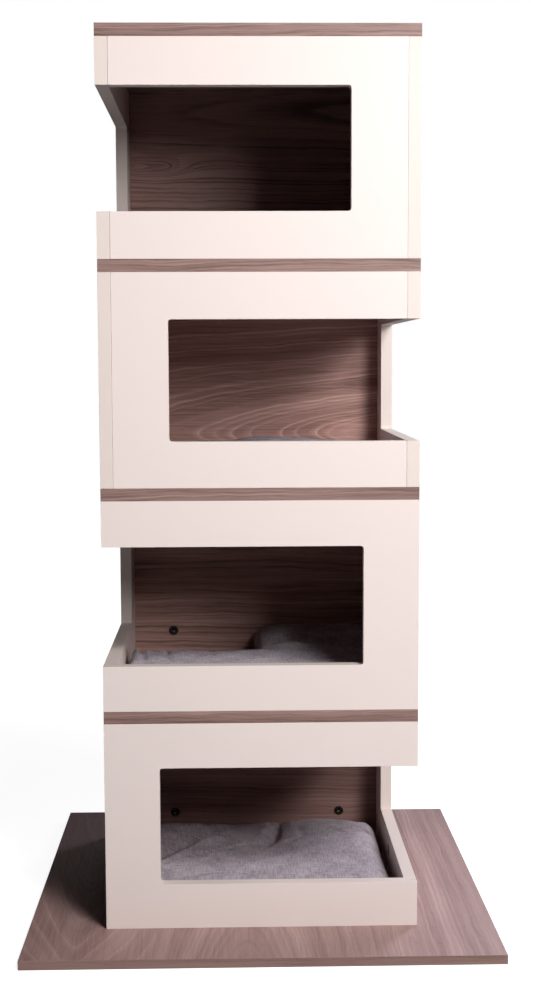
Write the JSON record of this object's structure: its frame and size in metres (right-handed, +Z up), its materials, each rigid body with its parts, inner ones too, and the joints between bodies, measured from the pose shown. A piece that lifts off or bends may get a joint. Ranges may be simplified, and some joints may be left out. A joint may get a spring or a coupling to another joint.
{
  "type": "cat tree",
  "caption": "Square cat tower of stacked open-fronted boxes on a wide base plate, with corner openings that face alternate sides and a loose cushion in each box.",
  "frame": {"origin": "centre of the base plate's underside, on the floor", "axes": "+Z up, front with the openings towards -Y, +X to the right seen from the front"},
  "size_m": [0.6, 0.6, 1.148],
  "materials": {
    "cream_board": "satin",
    "walnut_board": "satin",
    "zinc": "satin",
    "cushion_fabric": "matte"
  },
  "bodies": {
    "tower": {"base_plate": "walnut_board", "box_1_front": "cream_board", "cam_lock_1_front_1": "zinc", "cam_lock_1_front_2": "zinc", "box_1_right": "cream_board", "cam_lock_1_right": "zinc", "box_1_back": "walnut_board", "cam_lock_1_back_1": "zinc", "cam_lock_1_back_2": "zinc", "box_1_left": "cream_board", "cam_lock_1_left": "zinc", "shelf_1": "walnut_board", "box_2_front": "cream_board", "cam_lock_2_front_1": "zinc", "cam_lock_2_front_2": "zinc", "box_2_right": "cream_board", "cam_lock_2_right": "zinc", "box_2_back": "walnut_board", "cam_lock_2_back_1": "zinc", "cam_lock_2_back_2": "zinc", "box_2_left": "cream_board", "cam_lock_2_left": "zinc", "shelf_2": "walnut_board", "box_3_front": "cream_board", "cam_lock_3_front": "zinc", "box_3_right": "cream_board", "cam_lock_3_right_1": "zinc", "cam_lock_3_right_2": "zinc", "box_3_back": "walnut_board", "cam_lock_3_back": "zinc", "box_3_left": "cream_board", "cam_lock_3_left_1": "zinc", "cam_lock_3_left_2": "zinc", "shelf_3": "walnut_board", "box_4_front": "cream_board", "cam_lock_4_front": "zinc", "box_4_right": "cream_board", "cam_lock_4_right_1": "zinc", "cam_lock_4_right_2": "zinc", "box_4_back": "walnut_board", "cam_lock_4_back": "zinc", "box_4_left": "cream_board", "cam_lock_4_left_1": "zinc", "cam_lock_4_left_2": "zinc", "top_plate": "walnut_board"},
    "cushion_1": {"cushion_1": "cushion_fabric"},
    "cushion_2": {"cushion_2": "cushion_fabric"},
    "cushion_3": {"cushion_3": "cushion_fabric"},
    "cushion_4": {"cushion_4": "cushion_fabric"}
  },
  "joints": [
    {"name": "cushion_1_lift", "type": "slide", "parent": "tower", "child": "cushion_1", "axis": [0, 0, 1], "range_m": [0, 0.15]},
    {"name": "cushion_2_lift", "type": "slide", "parent": "tower", "child": "cushion_2", "axis": [0, 0, 1], "range_m": [0, 0.15]},
    {"name": "cushion_3_lift", "type": "slide", "parent": "tower", "child": "cushion_3", "axis": [0, 0, 1], "range_m": [0, 0.15]},
    {"name": "cushion_4_lift", "type": "slide", "parent": "tower", "child": "cushion_4", "axis": [0, 0, 1], "range_m": [0, 0.15]}
  ]
}
